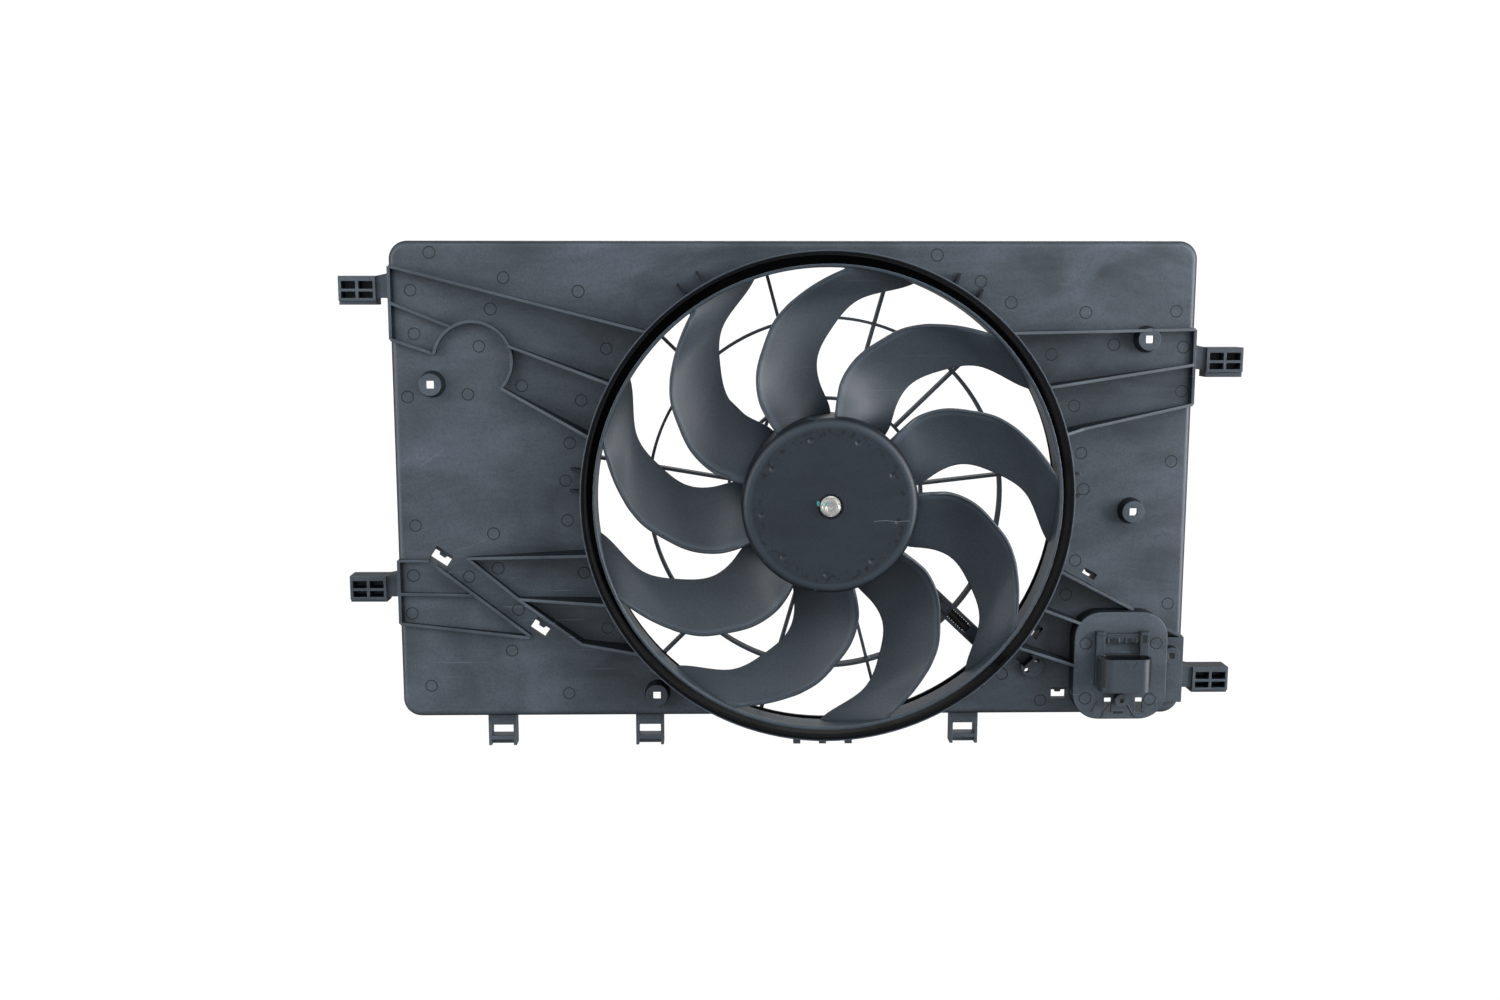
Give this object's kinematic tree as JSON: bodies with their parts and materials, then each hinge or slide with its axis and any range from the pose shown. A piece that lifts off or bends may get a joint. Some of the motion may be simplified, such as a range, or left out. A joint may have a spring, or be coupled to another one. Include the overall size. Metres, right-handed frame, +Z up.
{
  "type": "radiator fan shroud",
  "caption": "Wide ribbed plastic shroud tray with a round collar, an electric motor on radial struts and a bladed fan with an outer band that spins inside it.",
  "frame": {"origin": "On the fan axis, in the plane of the tray's rear rim, where the shroud meets the radiator core.", "axes": "+Z up as fitted in the vehicle, +Y through the shroud towards the radiator, +X to the right for someone facing the fan from the engine side."},
  "size_m": [0.736, 0.0941, 0.4229],
  "materials": {
    "shroud_plastic": "moulded, satin, faint flow marks",
    "fan_plastic": "moulded, smooth satin",
    "black_plastic": "moulded, fine texture",
    "black_rubber": "matte",
    "lead_sleeve": "satin",
    "plated_steel": "zinc plated",
    "can_steel": "drawn and passivated",
    "magnet": "dull",
    "laminations": "stacked sheet edges",
    "copper": "bare and lacquered copper",
    "carbon": "dull grey"
  },
  "bodies": {
    "shroud": {"shroud_panel": "shroud_plastic", "fan_ring": "shroud_plastic", "stator_struts": "shroud_plastic", "guard_ring": "shroud_plastic", "motor_ring": "shroud_plastic", "side_arms": "shroud_plastic", "hook_clips": "shroud_plastic", "rubber_bushes": "black_rubber", "bush_sleeves": "plated_steel", "motor_bolts": "plated_steel", "motor_can": "can_steel", "motor_end_cap": "black_plastic", "motor_magnets": "magnet", "brush_card": "black_plastic", "motor_brushes": "carbon", "front_bearing": "plated_steel", "rear_bearing": "plated_steel", "connector_shell": "black_plastic", "connector_terminals": "copper", "wire_conduit": "lead_sleeve", "conduit_clips": "black_plastic"},
    "fan": {"fan_hub": "fan_plastic", "fan_blades": "fan_plastic", "fan_band": "fan_plastic", "hub_insert": "plated_steel", "shaft_washer": "plated_steel", "shaft_nut": "plated_steel", "motor_shaft": "plated_steel", "armature_core": "laminations", "armature_windings": "copper", "commutator": "copper"}
  },
  "joints": [
    {"name": "fan_spin", "type": "hinge", "parent": "shroud", "child": "fan", "pos_m": [0, 0, 0], "axis": [0, 1, 0], "continuous": true}
  ]
}
